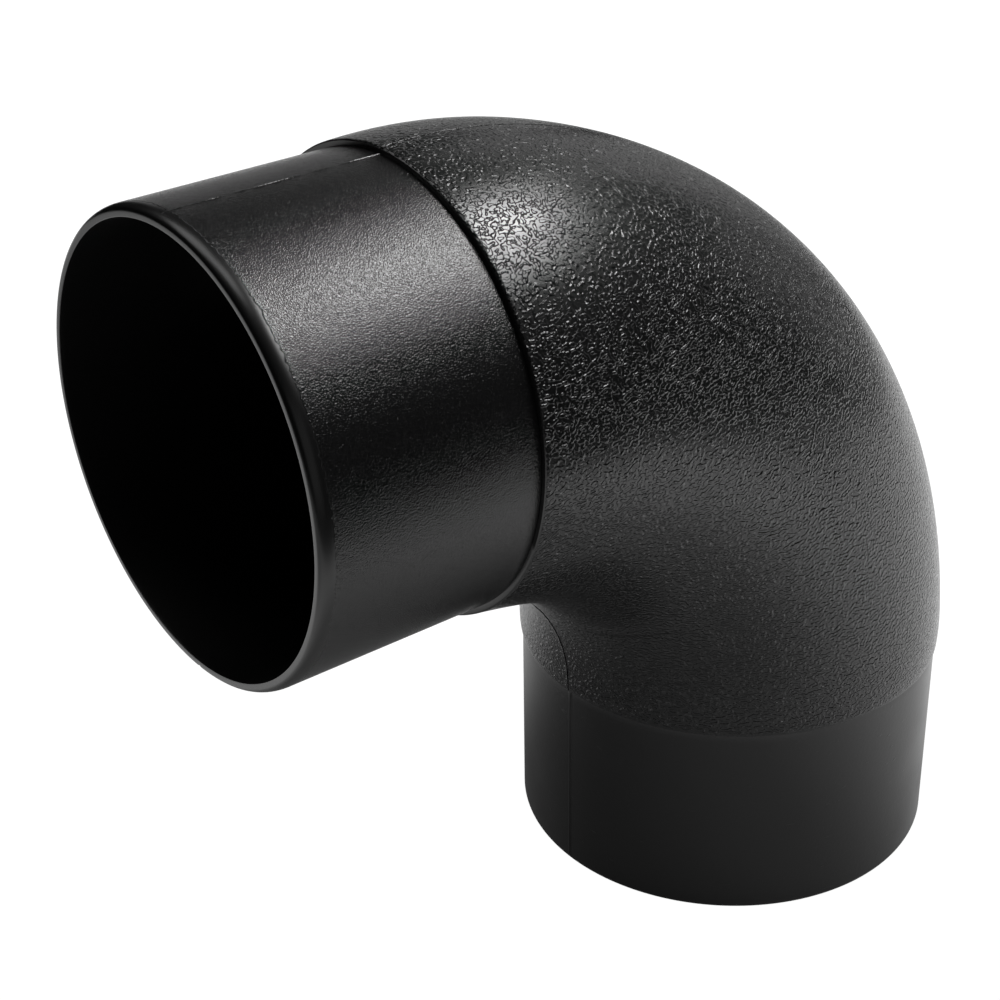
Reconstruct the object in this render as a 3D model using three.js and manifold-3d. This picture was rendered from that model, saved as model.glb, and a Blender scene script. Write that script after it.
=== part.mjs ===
// A 90 degree duct elbow with two plain round spigots, in millimetres, +Z up.
// It stands on its outlet spigot, and its inlet spigot points along -X.
// Two half shells form the bend and meet on the mid-plane y = 0 with a tongue and groove.
// A sleeve is seated in a socket at each end of the bend and held there by a retaining collar.

import * as THREE from "three";
import { mergeVertices } from "three/addons/utils/BufferGeometryUtils.js";
import Module from "manifold-3d";

const wasm = await Module();
wasm.setup();

// The bend: its centreline is a quarter of an ellipse between the two shoulders.
const BEND_RUN = 97;
const BEND_RISE = 93.5;
const SHELL_RADIUS = 50.1;
const SHELL_WALL = 3;
const FIT_GAP = 0.3;

// How the shell's radius changes near its ends, and the share of the bend over which it does.
const OUTLET_FLARE = { height: 0.8, reach: 0.4 };
const OUTLET_ROUNDING = { height: 0.4, reach: 0.04 };
const INLET_ROUNDING = { height: 1, reach: 0.16 };

// Each sleeve has an exposed spigot, and a narrower tail inside the bend's socket.
const OUTLET = {
  radius: 50,
  boreRadius: 47.5,
  length: 49,
  tailRadius: 48.2,
  tailBoreRadius: 46.6,
  mouthRounding: 0.8,
};
const INLET = {
  radius: 47.8,
  boreRadius: 45.4,
  length: 48.7,
  tailRadius: 46.9,
  tailBoreRadius: 45.3,
  mouthRounding: 1.2,
};
const NECK_LENGTH = 4;
const TAIL_LENGTH = 9;
const COLLAR = { start: 4, width: 2, height: 0.7 };

// A tongue runs in the middle of the wall at the bend's crown and at its throat, clear of the sockets.
const TONGUE = { thickness: 1, depth: 1.6 };
const CROWN = { side: 1, clearOfSocket: 0.08 };
const THROAT = { side: -1, clearOfSocket: 0.19 };

const SEGMENTS_AROUND = 48;
const STEPS_ALONG_BEND = 18;
const STEPS_ALONG_TONGUE = 24;
const VERTEX_TOLERANCE = 1e-4;
const BEYOND = 10;

const INLET_AXIS_HEIGHT = OUTLET.length + BEND_RISE;

// The black plastic: coarse grain on the bend, fine grain on the inlet, satin on the outlet.
const SHELL_FINISH = { color: 0x191919, roughness: 0.55 };
const INLET_FINISH = { color: 0x1b1b1b, roughness: 0.5 };
const OUTLET_FINISH = { color: 0x161617, roughness: 0.4 };

function solidOf(geometry) {
  const bare = geometry.clone();
  bare.deleteAttribute("normal");
  bare.deleteAttribute("uv");
  const merged = mergeVertices(bare, VERTEX_TOLERANCE);
  const vertProperties = merged.attributes.position.array;
  const triVerts = new Uint32Array(merged.index.array);
  return new wasm.Manifold(new wasm.Mesh({ numProp: 3, vertProperties, triVerts }));
}

function geometryOf(solid) {
  const mesh = solid.getMesh();
  const geometry = new THREE.BufferGeometry();
  geometry.setAttribute("position", new THREE.BufferAttribute(mesh.vertProperties, 3));
  geometry.setIndex(new THREE.BufferAttribute(mesh.triVerts, 1));
  geometry.computeVertexNormals();
  return geometry;
}

// A ring about the Y axis whose section is the closed outline of [radius, height] points.
function ring(outline) {
  const points = [...outline, outline[0]].map(([radius, height]) => new THREE.Vector2(radius, height));
  return new THREE.LatheGeometry(points, SEGMENTS_AROUND);
}

// Evenly spaced values from one number to another, both included.
function steps(from, to, count) {
  return Array.from({ length: count + 1 }, (_, i) => THREE.MathUtils.lerp(from, to, i / count));
}

function easeOut({ height, reach }, distance) {
  return height * Math.max(0, 1 - distance / reach) ** 2;
}

// The shell's outer radius at t, which runs from the outlet shoulder at 0 to the inlet shoulder at 1.
function shellRadius(t) {
  const atOutlet = easeOut(OUTLET_FLARE, t) - easeOut(OUTLET_ROUNDING, t);
  return SHELL_RADIUS + atOutlet - easeOut(INLET_ROUNDING, 1 - t);
}

// The passage meets the bore of each sleeve, and leaves the shell its wall in the middle of the bend.
function passageRadius(t) {
  const betweenBores = THREE.MathUtils.lerp(OUTLET.tailBoreRadius, INLET.tailBoreRadius, t);
  return THREE.MathUtils.lerp(betweenBores, shellRadius(t) - SHELL_WALL, Math.sin(t * Math.PI));
}

// The point at t along the bend that lies outward of the centreline and across the mid-plane.
function bendPoint(t, outward, across) {
  const angle = (t * Math.PI) / 2;
  const normal = new THREE.Vector3(Math.cos(angle) / BEND_RUN, 0, Math.sin(angle) / BEND_RISE).normalize();
  const x = BEND_RUN * (Math.cos(angle) - 1);
  const z = OUTLET.length + BEND_RISE * Math.sin(angle);
  return new THREE.Vector3(x, across, z).addScaledVector(normal, outward);
}

// Bends a ring whose heights are positions t, so that its axis follows the bend.
function bent(geometry) {
  const position = geometry.attributes.position;
  for (let i = 0; i < position.count; i++) {
    const point = bendPoint(position.getY(i), position.getX(i), -position.getZ(i));
    position.setXYZ(i, point.x, point.y, point.z);
  }
  return geometry;
}

function bendTube() {
  const stations = steps(0, Math.PI, STEPS_ALONG_BEND).map((angle) => (1 - Math.cos(angle)) / 2);
  const outside = stations.map((t) => [shellRadius(t), t]);
  const inside = stations.map((t) => [passageRadius(t), t]).reverse();
  return solidOf(bent(ring([...outside, ...inside])));
}

// Turns a geometry with its axis along Y to stand on the outlet's axis.
function atOutlet(geometry) {
  return geometry.rotateX(Math.PI / 2);
}

// Turns a geometry with its axis along Y to lie on the inlet's axis, its base at the inlet's mouth.
function atInlet(geometry) {
  return geometry.rotateZ(-Math.PI / 2).translate(-BEND_RUN - INLET.length, 0, INLET_AXIS_HEIGHT);
}

// The space that a sleeve's tail takes in the bend, with the groove for its collar.
function socketCutter(sleeve) {
  const shoulder = sleeve.length;
  const radius = sleeve.tailRadius + FIT_GAP;
  const groove = shoulder + COLLAR.start - FIT_GAP;
  const floor = shoulder + TAIL_LENGTH + FIT_GAP;
  return ring([
    [radius, shoulder - BEYOND],
    [radius, groove],
    [radius + COLLAR.height, groove],
    [radius + COLLAR.height, groove + COLLAR.width + 2 * FIT_GAP],
    [radius, groove + COLLAR.width + 2 * FIT_GAP],
    [radius, floor],
    [sleeve.tailBoreRadius - SHELL_WALL, floor],
    [sleeve.tailBoreRadius - SHELL_WALL, shoulder - BEYOND],
  ]);
}

function sleeveGeometry(sleeve) {
  const shoulder = sleeve.length - FIT_GAP;
  const collar = sleeve.length + COLLAR.start;
  const end = sleeve.length + TAIL_LENGTH;
  const mouth = steps(0, Math.PI / 2, 3).map((angle) => [
    sleeve.radius - sleeve.mouthRounding * (1 - Math.sin(angle)),
    2 * sleeve.mouthRounding * (1 - Math.cos(angle)),
  ]);
  return ring([
    ...mouth,
    [sleeve.radius, shoulder],
    [sleeve.tailRadius, shoulder],
    [sleeve.tailRadius, collar],
    [sleeve.tailRadius + COLLAR.height, collar],
    [sleeve.tailRadius + COLLAR.height, collar + COLLAR.width],
    [sleeve.tailRadius, collar + COLLAR.width],
    [sleeve.tailRadius, end],
    [sleeve.tailBoreRadius, end],
    [sleeve.tailBoreRadius, shoulder - NECK_LENGTH],
    [sleeve.boreRadius, shoulder - 2 * NECK_LENGTH],
    [sleeve.boreRadius, 0],
  ]);
}

// The half of space on one side of the mid-plane, kept half a gap away from it.
function halfSpace(side) {
  const size = 4 * (BEND_RUN + BEND_RISE);
  const box = new THREE.BoxGeometry(size, size, size);
  return solidOf(box.translate(0, (side * (size + FIT_GAP)) / 2, 0));
}

// A strip in the middle of the wall, as thick as the tongue with the clearance all round it.
function wallStrip({ side, clearOfSocket }, clearance) {
  const edge = (offset) => (t) => {
    const middle = (shellRadius(t) + passageRadius(t)) / 2;
    const point = bendPoint(t, side * (middle + offset), 0);
    return new THREE.Vector2(point.x, point.z);
  };
  const half = TONGUE.thickness / 2 + clearance;
  const start = clearOfSocket - (2 * clearance) / BEND_RUN;
  const along = steps(start, 1 - start, STEPS_ALONG_TONGUE);
  const outline = [...along.map(edge(half)), ...along.map(edge(-half)).reverse()];
  const depth = TONGUE.depth + clearance + FIT_GAP / 2;
  const strip = new THREE.ExtrudeGeometry(new THREE.Shape(outline), { depth, bevelEnabled: false });
  return solidOf(strip.rotateX(Math.PI / 2).translate(0, FIT_GAP, 0));
}

function shellHalves() {
  const tube = bendTube()
    .subtract(solidOf(atOutlet(socketCutter(OUTLET))))
    .subtract(solidOf(atInlet(socketCutter(INLET))));
  const tongues = wallStrip(CROWN, 0).add(wallStrip(THROAT, 0));
  const grooves = wallStrip(CROWN, FIT_GAP).add(wallStrip(THROAT, FIT_GAP));
  return {
    front: tube.intersect(halfSpace(-1)).subtract(grooves),
    back: tube.intersect(halfSpace(1)).add(tongues),
  };
}

function part(name, geometry, finish) {
  const mesh = new THREE.Mesh(geometry, new THREE.MeshStandardMaterial({ ...finish, metalness: 0 }));
  mesh.name = name;
  return mesh;
}

function inletSleeve() {
  const mesh = part("inlet_sleeve", sleeveGeometry(INLET), INLET_FINISH);
  mesh.rotation.z = -Math.PI / 2;
  mesh.position.set(-BEND_RUN - INLET.length, 0, INLET_AXIS_HEIGHT);
  return mesh;
}

function outletSleeve() {
  const mesh = part("outlet_sleeve", sleeveGeometry(OUTLET), OUTLET_FINISH);
  mesh.rotation.x = Math.PI / 2;
  return mesh;
}

function elbow() {
  const halves = shellHalves();
  const group = new THREE.Group();
  group.add(part("front_half_shell", geometryOf(halves.front), SHELL_FINISH));
  group.add(part("back_half_shell", geometryOf(halves.back), SHELL_FINISH));
  group.add(inletSleeve());
  group.add(outletSleeve());
  return group;
}

// The frame's origin is at the middle of the whole elbow's footprint, on the plane it stands on.
const group = elbow();
const bounds = new THREE.Box3().setFromObject(group, true);
group.position.x = -(bounds.min.x + bounds.max.x) / 2;

export default group;
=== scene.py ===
import math

import bpy
from mathutils import Matrix, Vector, noise


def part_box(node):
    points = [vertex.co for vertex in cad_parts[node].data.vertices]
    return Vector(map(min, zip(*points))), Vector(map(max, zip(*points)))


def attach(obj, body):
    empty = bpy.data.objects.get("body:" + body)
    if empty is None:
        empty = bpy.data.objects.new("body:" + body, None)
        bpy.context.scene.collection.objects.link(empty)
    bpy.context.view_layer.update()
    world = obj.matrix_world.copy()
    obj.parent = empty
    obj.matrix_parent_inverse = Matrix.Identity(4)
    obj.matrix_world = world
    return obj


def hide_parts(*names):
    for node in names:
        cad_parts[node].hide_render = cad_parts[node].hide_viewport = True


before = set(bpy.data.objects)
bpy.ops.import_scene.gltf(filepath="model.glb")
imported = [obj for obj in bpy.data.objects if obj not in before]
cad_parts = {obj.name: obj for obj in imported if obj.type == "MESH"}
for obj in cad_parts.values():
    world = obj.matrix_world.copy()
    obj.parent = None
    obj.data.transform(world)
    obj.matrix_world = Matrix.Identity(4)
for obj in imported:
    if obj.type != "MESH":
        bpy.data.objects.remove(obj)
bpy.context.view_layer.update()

MM = 0.001

# ---------------------------------------------------------------- the frame's own dimensions

INLET_LOW, INLET_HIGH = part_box("inlet_sleeve")
OUTLET_LOW, OUTLET_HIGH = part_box("outlet_sleeve")
SHELL_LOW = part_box("front_half_shell")[0]

OUTLET_RADIUS = (OUTLET_HIGH.y - OUTLET_LOW.y) / 2
INLET_RADIUS = (INLET_HIGH.y - INLET_LOW.y) / 2
OUTLET_AXIS_X = (OUTLET_HIGH.x + OUTLET_LOW.x) / 2
INLET_AXIS_Z = (INLET_HIGH.z + INLET_LOW.z) / 2
OUTLET_SHOULDER_Z = SHELL_LOW.z
INLET_SHOULDER_X = SHELL_LOW.x
OUTLET_LENGTH = OUTLET_SHOULDER_Z - OUTLET_LOW.z
INLET_LENGTH = INLET_SHOULDER_X - INLET_LOW.x
TAIL_LENGTH = OUTLET_HIGH.z - OUTLET_SHOULDER_Z
BEND_RUN = OUTLET_AXIS_X - INLET_SHOULDER_X
BEND_RISE = INLET_AXIS_Z - OUTLET_SHOULDER_Z
SHELL_WIDEST = -SHELL_LOW.y

# ---------------------------------------------------------------- the shape's own settings

SHELL_WALL = 3.0 * MM
SPIGOT_WALL = 2.4 * MM
TAIL_WALL = 1.5 * MM
OUTLET_TAIL_RADIUS = OUTLET_RADIUS - 1.8 * MM
INLET_TAIL_RADIUS = INLET_RADIUS - 0.9 * MM
FIT_GAP = 0.3 * MM
SHOULDER_GAP = 0.05 * MM

# The shell's radius in the middle of the bend, and how it changes near each end:
# by how much, and over what share of the bend.
SHELL_RADIUS = SHELL_WIDEST - 0.72 * MM
OUTLET_FLARE = (0.8 * MM, 0.4)
OUTLET_ROUNDING = (0.4 * MM, 0.04)
INLET_ROUNDING = (1.0 * MM, 0.16)


def ease_out(height, reach, distance):
    """A smooth rise to that height at distance 0, gone at distance reach."""
    return height * max(0.0, 1 - distance / reach) ** 2


def tent(height, reach, distance):
    """A straight rise to that height at distance 0, gone at distance reach."""
    return height * max(0.0, 1 - distance / reach)


def wander(place, rate, line):
    """Smooth noise between about -1 and 1 along one of many lines, the same on every run."""
    return noise.noise(Vector((place * rate, line, 0)))


def shell_radius(t):
    """Outer radius of the bend at t, from 0 at the outlet shoulder to 1 at the inlet shoulder."""
    outlet_end = ease_out(*OUTLET_FLARE, t) - ease_out(*OUTLET_ROUNDING, t)
    inlet_end = ease_out(*INLET_ROUNDING, 1 - t)
    return SHELL_RADIUS + outlet_end - inlet_end


def bend_point(t, outward, across):
    """The point at t along the bend, outward of its centreline and across the mid-plane."""
    angle = t * math.pi / 2
    normal = Vector((math.cos(angle) / BEND_RUN, 0, math.sin(angle) / BEND_RISE)).normalized()
    x = INLET_SHOULDER_X + BEND_RUN * math.cos(angle)
    z = OUTLET_SHOULDER_Z + BEND_RISE * math.sin(angle)
    return Vector((x, across, z)) + normal * outward


def outlet_point(along, outward, across):
    """The point that far up the outlet's axis from its mouth."""
    return Vector((OUTLET_AXIS_X + outward, across, OUTLET_LOW.z + along))


def inlet_point(along, outward, across):
    """The point that far along the inlet's axis from its mouth."""
    return Vector((INLET_LOW.x + along, across, INLET_AXIS_Z + outward))


# ---------------------------------------------------------------- mesh helpers

SHARP_DEGREES = 32


def grid_faces(rows, columns, first=0, wrap_rows=False, wrap_columns=False):
    """Quads over a grid of vertices numbered row by row."""
    faces = []
    for i in range(rows if wrap_rows else rows - 1):
        for j in range(columns if wrap_columns else columns - 1):
            a = first + i * columns + j
            b = first + i * columns + (j + 1) % columns
            c = first + (i + 1) % rows * columns + (j + 1) % columns
            d = first + (i + 1) % rows * columns + j
            faces.append((a, b, c, d))
    return faces


def make_piece(name, vertices, faces):
    mesh = bpy.data.meshes.new(name)
    mesh.from_pydata(vertices, [], faces)
    mesh.update()
    mesh.shade_smooth()
    mesh.set_sharp_from_angle(angle=math.radians(SHARP_DEGREES))
    piece = bpy.data.objects.new(name, mesh)
    bpy.context.scene.collection.objects.link(piece)
    return piece


def spread(near, last, count):
    """Values from 0 to last, as close together at both ends as the values in near."""
    first = near[-1]
    step = (last - 2 * first) / count
    middle = [first + step * k for k in range(1, count)]
    return near + middle + [last - value for value in reversed(near)]


# ---------------------------------------------------------------- half shells

BEND_STATIONS = 110
HALF_AROUND = 96

# The groove of the parting line: its rounded edge, its depth, and half the gap left at its bottom.
SEAM_EDGE = 0.1 * MM
SEAM_DEPTH = 1.2 * MM
SEAM_CONTACT = 0.01 * MM
RECESS_COLUMNS = 2

# Half the groove's width at the crown and at the throat, and how much the throat's wanders.
CROWN_GAP = 0.18 * MM
THROAT_GAP = 0.09 * MM
THROAT_WANDER = 0.04 * MM

# The slits in the throat: each one's place along the bend, half width, and reach along the bend.
THROAT_SLITS = (
    (0.41, 0.8 * MM, 0.028),
    (0.365, 0.35 * MM, 0.012),
    (0.33, 0.25 * MM, 0.010),
)
PROUD_HEIGHT = 0.12 * MM
PROUD_REACH = 0.7 * MM

# The rounding of the shell's last edge: how far back, and over what share of the bend.
EDGE_ROUNDING = 0.3 * MM
EDGE_REACH = 0.003

# Where the passage leaves the sockets, as a share of the bend from each end.
PASSAGE_START = 0.17
PASSAGE_STEPS = 36


def half_angles(radius):
    """Angles from crown to throat, closer together beside the parting line."""
    near = [share * SEAM_EDGE / radius for share in (0, 0.25, 0.55, 1, 1.8, 4, 8)]
    return spread(near, math.pi, HALF_AROUND)


def bend_stations():
    """Positions along the bend, closer together at its two rounded ends."""
    ends = [EDGE_REACH * share for share in (0, 0.12, 0.28, 0.5, 0.8, 1.3, 2.2, 4, 7)]
    return spread(ends, 1, BEND_STATIONS)


def half_gap(t, angle):
    """Half the width of the parting line, which opens into a few slits high in the throat."""
    if angle < math.pi / 2:
        return CROWN_GAP
    slit = 0.0
    for centre, width, reach in THROAT_SLITS:
        slit = max(slit, width * (1 - ((t - centre) / reach) ** 2))
    return THROAT_GAP + slit + max(0.0, THROAT_WANDER * wander(t, rate=60, line=3.1))


def proud_edge(t, angle, side):
    """The back half's edge stands a little proud along the throat."""
    if side < 0 or angle < math.pi / 2:
        return 0.0
    from_seam = SHELL_WIDEST * (math.pi - angle)
    height = PROUD_HEIGHT * (1 + wander(t, rate=30, line=8.4))
    return ease_out(height, PROUD_REACH, from_seam)


def outer_row(t, angles, side):
    """One row of the outside, from the bottom of the crown's groove round to the throat's."""
    radius = shell_radius(t) - ease_out(EDGE_ROUNDING, EDGE_REACH, min(t, 1 - t))
    row = []
    for angle in angles:
        from_seam = radius * min(angle, math.pi - angle)
        edge = ease_out(SEAM_EDGE, SEAM_EDGE, from_seam) - proud_edge(t, angle, side)
        gap = half_gap(t, angle)
        outward = (radius - edge) * math.cos(angle)
        across = gap + (radius - edge - gap) * math.sin(angle)
        row.append((outward, across))
    bottom = radius - SEAM_DEPTH
    crown = [(bottom, SEAM_CONTACT), (bottom, row[0][1])]
    throat = [(-bottom, row[-1][1]), (-bottom, SEAM_CONTACT)]
    return [bend_point(t, outward, side * across) for outward, across in crown + row + throat]


def passage_radius(t):
    """The passage meets both sleeves' bores, and leaves the shell its wall in the middle of the bend."""
    at_ends = (OUTLET_TAIL_RADIUS * (1 - t) + INLET_TAIL_RADIUS * t) - TAIL_WALL
    share = math.sin(t * math.pi)
    return at_ends * (1 - share) + (shell_radius(t) - SHELL_WALL) * share


def inner_row(place, along, radius, angles, side):
    """One row of the inside, a half circle."""
    row = []
    for angle in angles:
        across = side * (SEAM_CONTACT + (radius - SEAM_CONTACT) * math.sin(angle))
        row.append(place(along, radius * math.cos(angle), across))
    return row


def inner_rows(angles, side):
    """The inside of a half shell: a straight socket at each end, and the passage between them."""
    floor = TAIL_LENGTH + FIT_GAP
    outlet_socket = OUTLET_TAIL_RADIUS + FIT_GAP
    inlet_socket = INLET_TAIL_RADIUS + FIT_GAP
    passage_share = 1 - 2 * PASSAGE_START
    passage = [PASSAGE_START + passage_share * k / PASSAGE_STEPS for k in range(PASSAGE_STEPS + 1)]
    rows = [
        (outlet_point, OUTLET_LENGTH, outlet_socket),
        (outlet_point, OUTLET_LENGTH + floor, outlet_socket),
        (outlet_point, OUTLET_LENGTH + floor, OUTLET_TAIL_RADIUS - TAIL_WALL),
        *[(bend_point, t, passage_radius(t)) for t in passage],
        (inlet_point, INLET_LENGTH + floor, INLET_TAIL_RADIUS - TAIL_WALL),
        (inlet_point, INLET_LENGTH + floor, inlet_socket),
        (inlet_point, INLET_LENGTH, inlet_socket),
    ]
    return [inner_row(place, along, radius, angles, side) for place, along, radius in rows]


def end_faces(outer, inner, outer_columns, inner_columns, turn):
    """Faces across the wall at one end, between the rows that start at vertices outer and inner."""
    faces = []
    for j in range(inner_columns - 1):
        out, back = outer + RECESS_COLUMNS + j, inner + j
        faces.append((out, out + 1, back + 1, back)[::turn])
    last_outer, last_inner = outer + outer_columns - 1, inner + inner_columns - 1
    faces.append((outer, outer + 1, outer + 2, inner)[::turn])
    faces.append((last_outer, last_inner, last_outer - 2, last_outer - 1)[::turn])
    return faces


def shell_faces(rows, columns, inside_rows, inside_columns):
    """The outside, the inside, the two ends, and the flat faces along the crown and the throat."""
    inside = rows * columns
    last_row = (rows - 1) * columns
    last_inside_row = inside + (inside_rows - 1) * inside_columns
    faces = grid_faces(rows, columns)
    faces += [face[::-1] for face in grid_faces(inside_rows, inside_columns, inside)]
    faces += end_faces(0, inside, columns, inside_columns, -1)
    faces += end_faces(last_row, last_inside_row, columns, inside_columns, 1)
    for column, inside_column, turn in ((0, 0, 1), (columns - 1, inside_columns - 1, -1)):
        out = [i * columns + column for i in range(rows)]
        back = [inside + i * inside_columns + inside_column for i in reversed(range(inside_rows))]
        faces.append((out + back)[::turn])
    return faces


def half_shell(name, side):
    angles = half_angles(SHELL_WIDEST)
    outside = [outer_row(t, angles, side) for t in bend_stations()]
    inside = inner_rows(angles, side)
    vertices = [point for row in outside + inside for point in row]
    faces = shell_faces(len(outside), len(outside[0]), len(inside), len(inside[0]))
    if side < 0:
        faces = [face[::-1] for face in faces]
    return make_piece(name, vertices, faces)


# ---------------------------------------------------------------- sleeves

SLEEVE_AROUND = 192
OUTSIDE_STEPS = 24
LIP_STEPS = 14
CORNER_STEPS = 4
NECK_LENGTH = 4 * MM
MOUTH_DEPTH = 1.2 * MM
SLEEVE_EDGE = 0.12 * MM

# How far each mouth's lip turns inward, and along what length of the spigot.
INLET_LIP = (1.4 * MM, 2.8 * MM)
OUTLET_LIP = (0.8 * MM, 1.2 * MM)

# The marks of the parting line on the sleeves: height or depth, and reach to each side.
INLET_RIDGE = (0.12 * MM, 0.13 * MM)
INLET_GROOVE = (0.12 * MM, 0.18 * MM)
INLET_NOTCH = (0.35 * MM, 0.6 * MM)
OUTLET_GROOVE = (0.16 * MM, 0.2 * MM)
GROOVE_CHANGE = 0.5
GROOVE_EDGE = (0.05 * MM, 0.14 * MM)
GROOVE_EDGE_PLACE = 0.28 * MM
NUB = (0.3 * MM, 0.45 * MM)
NUB_LENGTH = 1.6 * MM

# The inlet's ridge is broken where its presence falls to 0.
RIDGE_PRESENCE = 0.7
RIDGE_CHANGE = 1.6

# A sleeve's outside is within SKIN of its radius, and the inlet's notch reaches NOTCH_REACH into its lip.
SKIN = 0.1 * MM
NOTCH_REACH = 1.5 * MM


def sleeve_angles(radius):
    """Angles all round, closer together beside the two parting lines."""
    near = [share * MM / radius for share in (0, 0.06, 0.12, 0.18, 0.24, 0.32, 0.5, 0.9, 1.6)]
    half = spread(near, math.pi, SLEEVE_AROUND // 2)
    return half + [2 * math.pi - angle for angle in reversed(half[1:-1])]


def sleeve(name, place, outline, relief, flip):
    """A full ring with the closed outline of (radius, along) points, and a relief along its seams."""
    angles = sleeve_angles(max(radius for radius, along in outline))
    vertices = []
    for radius, along in outline:
        for angle in angles:
            local = radius + relief(radius, along, angle)
            vertices.append(place(along, local * math.cos(angle), local * math.sin(angle)))
    faces = grid_faces(len(outline), len(angles), wrap_rows=True, wrap_columns=True)
    if flip:
        faces = [face[::-1] for face in faces]
    return make_piece(name, vertices, faces)


def arc(centre, radii, start, end, count):
    """(radius, along) points on an ellipse about centre, from one angle to another."""
    angles = [start + (end - start) * k / count for k in range(count + 1)]
    return [
        (centre[0] + radii[0] * math.sin(angle), centre[1] - radii[1] * math.cos(angle))
        for angle in angles
    ]


def sleeve_outline(radius, length, lip, tail_radius):
    """Mouth, outside, shoulder, tail and bore of a sleeve, as (radius, along) points."""
    turn_in, lead = lip
    edge = SLEEVE_EDGE
    face = radius - turn_in
    bore = radius - SPIGOT_WALL
    tail_bore = tail_radius - TAIL_WALL
    shoulder = length - SHOULDER_GAP
    top = shoulder - edge
    outside = [lead + (top - lead) * k / OUTSIDE_STEPS for k in range(1, OUTSIDE_STEPS)]
    return [
        (bore, MOUTH_DEPTH),
        *arc((bore + edge, edge), (-edge, edge), math.pi / 2, 0, CORNER_STEPS),
        (face - 0.5 * edge, 0),
        *arc((face - 0.1 * edge, lead), (turn_in + 0.1 * edge, lead), 0, math.pi / 2, LIP_STEPS),
        *[(radius, along) for along in outside],
        *arc((radius - edge, top), (edge, edge), math.pi / 2, math.pi, CORNER_STEPS),
        (tail_radius, shoulder),
        (tail_radius, length + TAIL_LENGTH),
        (tail_bore, length + TAIL_LENGTH),
        (tail_bore, shoulder - NECK_LENGTH),
        (bore, shoulder - 2 * NECK_LENGTH),
    ]


def seam_distance(radius, angle):
    """Distance round the ring to the crown's line and to the throat's line."""
    crown = radius * min(angle, 2 * math.pi - angle)
    throat = radius * abs(math.pi - angle)
    return crown, throat


def inlet_relief(radius, along, angle):
    """A broken raised hairline along the crown, a fine groove along the throat, and a lip notch."""
    if along > INLET_LENGTH or radius < INLET_RADIUS - NOTCH_REACH:
        return 0.0
    crown, throat = seam_distance(radius, angle)
    if radius < INLET_RADIUS - SKIN:
        return -tent(*INLET_NOTCH, throat)
    presence = RIDGE_PRESENCE + RIDGE_CHANGE * wander(along / MM, rate=0.35, line=1.7)
    ridge = tent(*INLET_RIDGE, crown) * min(1.0, max(0.0, presence))
    return ridge - tent(*INLET_GROOVE, throat)


def outlet_relief(radius, along, angle):
    """A groove along the crown and the throat, with a light raised edge, and a nub under the throat."""
    if along > OUTLET_LENGTH or radius < OUTLET_RADIUS - SKIN:
        return 0.0
    crown, throat = seam_distance(radius, angle)
    near = min(crown, throat)
    uneven = 1 + GROOVE_CHANGE * wander(along / MM, rate=0.9, line=5.2)
    groove = tent(*OUTLET_GROOVE, near) * uneven
    edge = tent(*GROOVE_EDGE, abs(near - GROOVE_EDGE_PLACE))
    nub = tent(*NUB, throat) * tent(1, NUB_LENGTH, OUTLET_LENGTH - along)
    return edge + nub - groove


# ---------------------------------------------------------------- materials

# Every length in this section is in millimetres.

# Leather grain on the shells, which leaves a plain strip at each shoulder.
GRAIN_PER_MM = 0.7
GRAIN_WAVES = 1.3
GRAIN_BREAKS = 0.12
GRAIN_EDGE = (0.44, 0.6)
GRAIN_DEPTH = 0.18
PLAIN_AT_OUTLET = (0.5, 1.3)
PLAIN_AT_INLET = (0.1, 0.4)

# Sand grain on the inlet, which starts along a ragged line behind the smooth lip.
SAND_PER_MM = 3.4
SAND_DEPTH = 0.12
SAND_START = (3.2, 3.5)
SAND_RAGGED = 0.9
SAND_SKIN = 0.5

# Scuffs on the satin outlet, about four times as long round it as up it.
SCUFFS_PER_MM = 0.55
SCUFF_STRETCH = (0.5, 0.5, 2.2)
SCUFF_EDGE = (0.72, 0.80)
SCUFF_HEIGHT = 1.5
SATIN_DEPTH = 0.02

# The white board reaches behind the object. Its glow is painted bounce light, with a painted shadow where
# the object's shade falls, and it is darker to the left.
BOARD_BACK = 350
BOARD_SHADE = (OUTLET_AXIS_X / MM - 70, -BOARD_BACK - 20, 0)
BOARD_SHADE_REACH = (70, 200)
BOARD_LEFT = (-350, -180)


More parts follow.
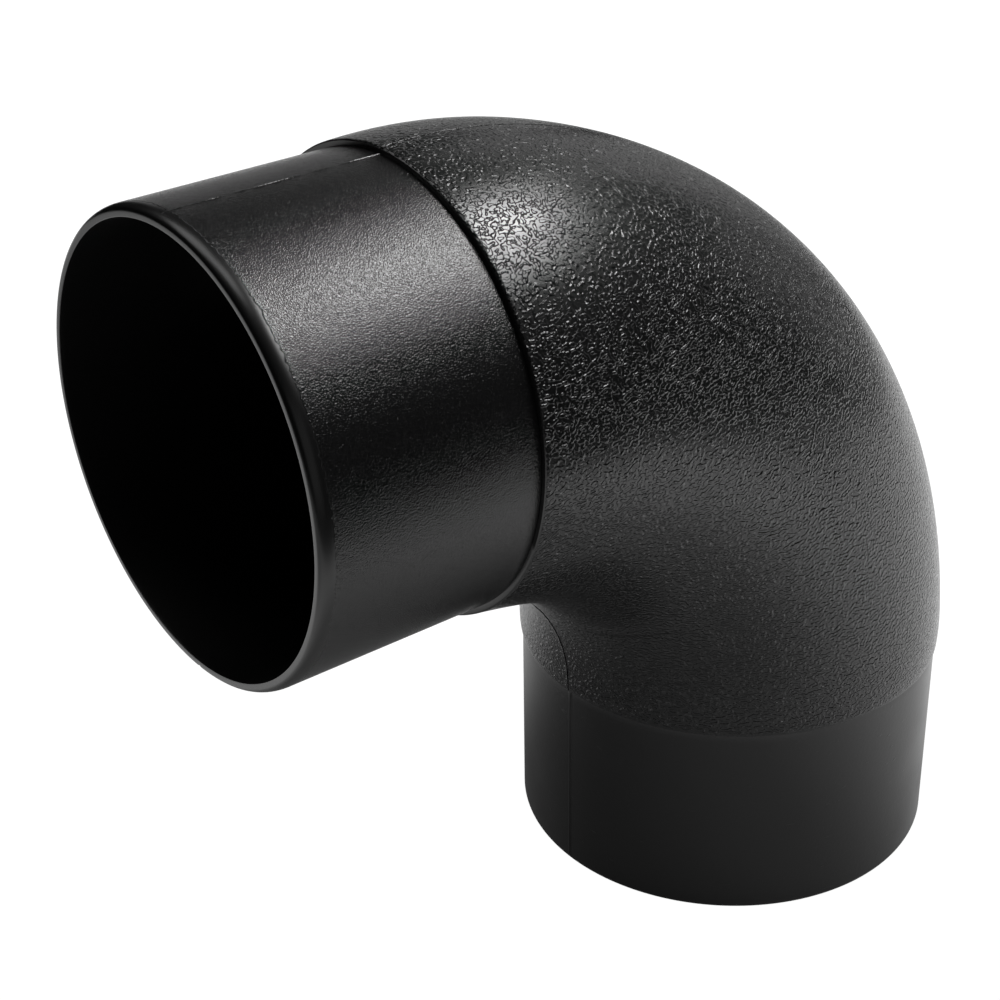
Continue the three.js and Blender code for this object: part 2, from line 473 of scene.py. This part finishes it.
class Graph:
    """A material's node tree, with short calls for the nodes used here."""

    def __init__(self, name):
        self.material = bpy.data.materials.new(name)
        self.material.use_nodes = True
        self.nodes = self.material.node_tree.nodes
        self.links = self.material.node_tree.links
        self.shader = self.nodes["Principled BSDF"]
        coordinates = self.nodes.new("ShaderNodeTexCoord")
        self.place = self.vector("MULTIPLY", coordinates.outputs["Object"], (1 / MM,) * 3)

    def feed(self, socket, value):
        if isinstance(value, bpy.types.NodeSocket):
            self.links.new(value, socket)
        else:
            socket.default_value = value

    def math(self, operation, *values):
        node = self.nodes.new("ShaderNodeMath")
        node.operation = operation
        for socket, value in zip(node.inputs, values):
            self.feed(socket, value)
        return node.outputs[0]

    def vector(self, operation, *values):
        node = self.nodes.new("ShaderNodeVectorMath")
        node.operation = operation
        for socket, value in zip(node.inputs, values):
            self.feed(socket, value)
        return node.outputs["Value" if operation == "LENGTH" else "Vector"]

    def axis(self, name):
        node = self.nodes.new("ShaderNodeSeparateXYZ")
        self.feed(node.inputs[0], self.place)
        return node.outputs[name]

    def noise(self, per_mm, detail=0.0, place=None):
        node = self.nodes.new("ShaderNodeTexNoise")
        self.feed(node.inputs["Vector"], place or self.place)
        node.inputs["Scale"].default_value = per_mm
        node.inputs["Detail"].default_value = detail
        return node.outputs["Fac"]

    def gabor(self, per_mm, waves):
        """Short waves in every direction."""
        node = self.nodes.new("ShaderNodeTexGabor")
        node.gabor_type = "3D"
        self.feed(node.inputs["Vector"], self.place)
        node.inputs["Scale"].default_value = per_mm
        node.inputs["Frequency"].default_value = waves
        node.inputs["Anisotropy"].default_value = 0.0
        return node.outputs["Value"]

    def remap(self, value, low, high, to_low=0.0, to_high=1.0):
        node = self.nodes.new("ShaderNodeMapRange")
        node.interpolation_type = "SMOOTHSTEP"
        for socket, number in zip(node.inputs, (value, low, high, to_low, to_high)):
            self.feed(socket, number)
        return node.outputs[0]

    def mix(self, share, first, second):
        node = self.nodes.new("ShaderNodeMix")
        node.data_type = "RGBA"
        self.feed(node.inputs["Factor"], share)
        self.feed(node.inputs["A"], first)
        self.feed(node.inputs["B"], second)
        return next(output for output in node.outputs if output.type == "RGBA")

    def bump(self, height, depth_mm):
        node = self.nodes.new("ShaderNodeBump")
        node.inputs["Strength"].default_value = 1.0
        node.inputs["Distance"].default_value = depth_mm * MM
        self.feed(node.inputs["Height"], height)
        self.feed(self.shader.inputs["Normal"], node.outputs[0])

    def finish(self, **values):
        """Feeds the shader's inputs, which are named in lower case with underscores."""
        for name, value in values.items():
            socket = next(s for s in self.shader.inputs if s.name.lower().replace(" ", "_") == name)
            self.feed(socket, value)

    def cloudy_grey(self, per_mm, detail, darkest, lightest):
        """A base colour that drifts between two greys. Returns the cloud."""
        cloud = self.noise(per_mm, detail)
        self.finish(base_color=self.mix(cloud, grey(darkest), grey(lightest)))
        return cloud


def grey(value):
    return (value, value, value * 1.02, 1.0)


def leather_height(graph):
    """Short curling worms about as wide as the valleys between them: 0 in a valley, 1 on a crest."""
    waves = graph.gabor(GRAIN_PER_MM, GRAIN_WAVES)
    about_zero = graph.math("SUBTRACT", graph.noise(per_mm=0.9), 0.5)
    breaks = graph.math("MULTIPLY", about_zero, GRAIN_BREAKS)
    worms = graph.remap(graph.math("ADD", waves, breaks), *GRAIN_EDGE)
    from_outlet = graph.math("SUBTRACT", graph.axis("Z"), OUTLET_SHOULDER_Z / MM)
    from_inlet = graph.math("SUBTRACT", graph.axis("X"), INLET_SHOULDER_X / MM)
    off_outlet = graph.remap(from_outlet, *PLAIN_AT_OUTLET)
    off_inlet = graph.remap(from_inlet, *PLAIN_AT_INLET)
    return graph.math("MULTIPLY", worms, graph.math("MINIMUM", off_outlet, off_inlet))


def shell_material():
    graph = Graph("grained_shell")
    height = leather_height(graph)
    graph.bump(height, GRAIN_DEPTH)
    graph.cloudy_grey(per_mm=0.05, detail=2.0, darkest=0.004, lightest=0.007)
    graph.finish(roughness=graph.remap(height, 0, 1, 0.27, 0.24))
    return graph.material


def sand_mask(graph):
    """1 on the outside of the inlet behind its lip, and 0 on the lip and in the bore."""
    from_mouth = graph.math("SUBTRACT", graph.axis("X"), INLET_LOW.x / MM)
    unevenness = graph.math("MULTIPLY", graph.noise(per_mm=1.1), SAND_RAGGED)
    ragged = graph.math("ADD", from_mouth, unevenness)
    beyond_lip = graph.remap(ragged, *SAND_START)
    across = graph.vector("SUBTRACT", graph.place, (0, 0, INLET_AXIS_Z / MM))
    from_axis = graph.vector("LENGTH", graph.vector("MULTIPLY", across, (0, 1, 1)))
    outside = graph.math("GREATER_THAN", from_axis, INLET_RADIUS / MM - SAND_SKIN)
    return graph.math("MULTIPLY", beyond_lip, outside)


def inlet_material():
    graph = Graph("fine_grained_sleeve")
    grained = sand_mask(graph)
    graph.bump(graph.math("MULTIPLY", graph.noise(SAND_PER_MM, detail=1.0), grained), SAND_DEPTH)
    graph.cloudy_grey(per_mm=0.05, detail=2.0, darkest=0.004, lightest=0.006)
    graph.finish(roughness=graph.remap(grained, 0, 1, 0.30, 0.24))
    return graph.material


def outlet_material():
    """Satin, with a few faint short scuffs."""
    graph = Graph("satin_sleeve")
    stretched = graph.vector("MULTIPLY", graph.place, SCUFF_STRETCH)
    scuffs = graph.remap(graph.noise(SCUFFS_PER_MM, detail=1.0, place=stretched), *SCUFF_EDGE)
    raised = graph.math("MULTIPLY", scuffs, SCUFF_HEIGHT)
    graph.bump(graph.math("ADD", graph.noise(per_mm=1.2, detail=2.0), raised), SATIN_DEPTH)
    cloud = graph.cloudy_grey(per_mm=0.06, detail=3.0, darkest=0.003, lightest=0.005)
    graph.finish(roughness=graph.remap(cloud, 0.3, 0.7, 0.30, 0.36))
    return graph.material


def glowing_graph(name, base):
    """A matt grey that also glows white."""
    graph = Graph(name)
    graph.finish(roughness=0.9, base_color=(base, base, base, 1), emission_color=(1, 1, 1, 1))
    return graph


def floor_material():
    graph = glowing_graph("studio_floor", 0.1)
    graph.finish(emission_strength=1.0)
    return graph.material


def board_material():
    """White glow of painted bounce light, with a painted shadow where the object keeps the light off it.
    """
    graph = glowing_graph("bounce_board", 0.3)
    # Painted shadow: the glow fades near a point beside the object, and is dimmer towards the left.
    from_shade = graph.vector("LENGTH", graph.vector("SUBTRACT", graph.place, BOARD_SHADE))
    around = graph.remap(from_shade, *BOARD_SHADE_REACH, 0.1, 1.0)
    left = graph.remap(graph.axis("X"), *BOARD_LEFT, 0.4, 1.0)
    graph.finish(specular_ior_level=0.0, emission_strength=graph.math("MULTIPLY", around, left))
    return graph.material


# ---------------------------------------------------------------- the pieces


def place_piece(piece, material, node):
    piece.data.materials.append(material)
    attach(piece, "root")
    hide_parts(node)


def build_shells():
    material = shell_material()
    for node, side in (("front_half_shell", -1), ("back_half_shell", 1)):
        place_piece(half_shell(node + "_skin", side), material, node)


def build_sleeves():
    outline = sleeve_outline(INLET_RADIUS, INLET_LENGTH, INLET_LIP, INLET_TAIL_RADIUS)
    inlet = sleeve("inlet_sleeve_skin", inlet_point, outline, inlet_relief, flip=True)
    place_piece(inlet, inlet_material(), "inlet_sleeve")
    outline = sleeve_outline(OUTLET_RADIUS, OUTLET_LENGTH, OUTLET_LIP, OUTLET_TAIL_RADIUS)
    outlet = sleeve("outlet_sleeve_skin", outlet_point, outline, outlet_relief, flip=False)
    place_piece(outlet, outlet_material(), "outlet_sleeve")


# ---------------------------------------------------------------- studio

FLOOR_REACH = 6.0
BOARD_REACH = 0.6
BOARD_HEIGHT = 0.1 * MM

# The photo's view, with angles in degrees, and lens and sensor in millimetres.
CAMERA_AZIMUTH = -37.794
CAMERA_ELEVATION = 28.743
CAMERA_ROLL = -0.914
CAMERA_TARGET = Vector((OUTLET_AXIS_X, 0, 0)) + Vector((-51.17, 24.02, 89.78)) * MM
CAMERA_DISTANCE = 487.4 * MM
CAMERA_NEAREST = 10 * MM
CAMERA_LENS = 76.11
CAMERA_SENSOR = 36

# Each light's azimuth and elevation in degrees, distance and size in metres, and power in watts.
LIGHTS = {
    "key": (44, 57, 0.9, 0.3, 2.9),
    "key_side": (68, 57, 0.9, 0.3, 2.2),
    "key_near": (74, 66, 0.45, 0.12, 0.65),
    "key_near_side": (93, 60, 0.45, 0.14, 0.26),
    "rim_low_right": (90, 8, 0.9, 0.42, 0.2),
    "rim_low_back": (120, 8, 0.9, 0.42, 0.22),
    "rim_low_left": (150, 8, 0.9, 0.42, 0.23),
    "rim_middle": (124, 32, 0.9, 0.42, 0.28),
    "back_top": (205, 60, 0.9, 0.42, 1.1),
    "fill": (-20, 12, 1.5, 1.2, 1.1),
    "overhead": (240, 82, 0.9, 0.3, 0.8),
}
LIT_POINT = Vector((0, 0, 0.1))


def square(name, reach, height, material):
    corners = [(-reach, -reach, 0), (reach, -reach, 0), (reach, reach, 0), (-reach, reach, 0)]
    plate = make_piece(name, corners, [(0, 1, 2, 3)])
    plate.location.z = OUTLET_LOW.z + height
    plate.data.materials.append(material)
    return plate


def build_floor():
    """A pale floor for the camera only, and over it a board that the camera doesn't see, whose glow is
    painted bounce light.
    """
    floor = square("studio_floor", FLOOR_REACH, 0.0, floor_material())
    floor.visible_diffuse = False
    floor.visible_glossy = False
    board = square("bounce_board", BOARD_REACH, BOARD_HEIGHT, board_material())
    board.location.y = BOARD_BACK * MM
    board.visible_camera = False


def direction(azimuth, elevation):
    """From the object towards that azimuth, where 0 is the front, and elevation, in radians."""
    level = math.cos(elevation)
    return Vector((math.sin(azimuth) * level, -math.cos(azimuth) * level, math.sin(elevation)))


def look_along(location, right, up):
    """A matrix for a camera or light at location with that right and up direction."""
    right = right.normalized()
    back = right.cross(up).normalized()
    up = back.cross(right)
    turn = Matrix((right, up, back)).transposed().to_4x4()
    return Matrix.Translation(location) @ turn


def build_camera():
    azimuth = math.radians(CAMERA_AZIMUTH)
    roll = math.radians(CAMERA_ROLL)
    back = direction(azimuth, math.radians(CAMERA_ELEVATION))
    right = Vector((math.cos(azimuth), math.sin(azimuth), 0))
    up = back.cross(right)
    rolled_right = right * math.cos(roll) + up * math.sin(roll)
    rolled_up = up * math.cos(roll) - right * math.sin(roll)
    camera = bpy.data.cameras.new("camera")
    camera.sensor_width = CAMERA_SENSOR
    camera.lens = CAMERA_LENS
    camera.clip_start = CAMERA_NEAREST
    holder = bpy.data.objects.new("camera", camera)
    location = CAMERA_TARGET + back * CAMERA_DISTANCE
    holder.matrix_world = look_along(location, rolled_right, rolled_up)
    bpy.context.scene.collection.objects.link(holder)
    bpy.context.scene.camera = holder


def soft_light(name, azimuth, elevation, distance, size, power):
    """A square soft light that faces the object from that direction."""
    towards = direction(math.radians(azimuth), math.radians(elevation))
    right = Vector((0, 0, 1)).cross(towards)
    light = bpy.data.lights.new(name, "AREA")
    light.shape = "SQUARE"
    light.size = size
    light.energy = power
    holder = bpy.data.objects.new(name, light)
    holder.matrix_world = look_along(LIT_POINT + towards * distance, right, towards.cross(right))
    holder.visible_camera = False
    bpy.context.scene.collection.objects.link(holder)


def build_light():
    """A white world for the camera only, and the soft lights."""
    world = bpy.data.worlds.new("studio")
    bpy.context.scene.world = world
    world.use_nodes = True
    background = world.node_tree.nodes["Background"]
    background.inputs["Color"].default_value = (1, 1, 1, 1)
    background.inputs["Strength"].default_value = 1.0
    world.cycles_visibility.diffuse = False
    world.cycles_visibility.glossy = False
    for name, settings in LIGHTS.items():
        soft_light(name, *settings)
    bpy.context.scene.view_settings.view_transform = "Standard"


build_camera()
build_shells()
build_sleeves()
build_floor()
build_light()
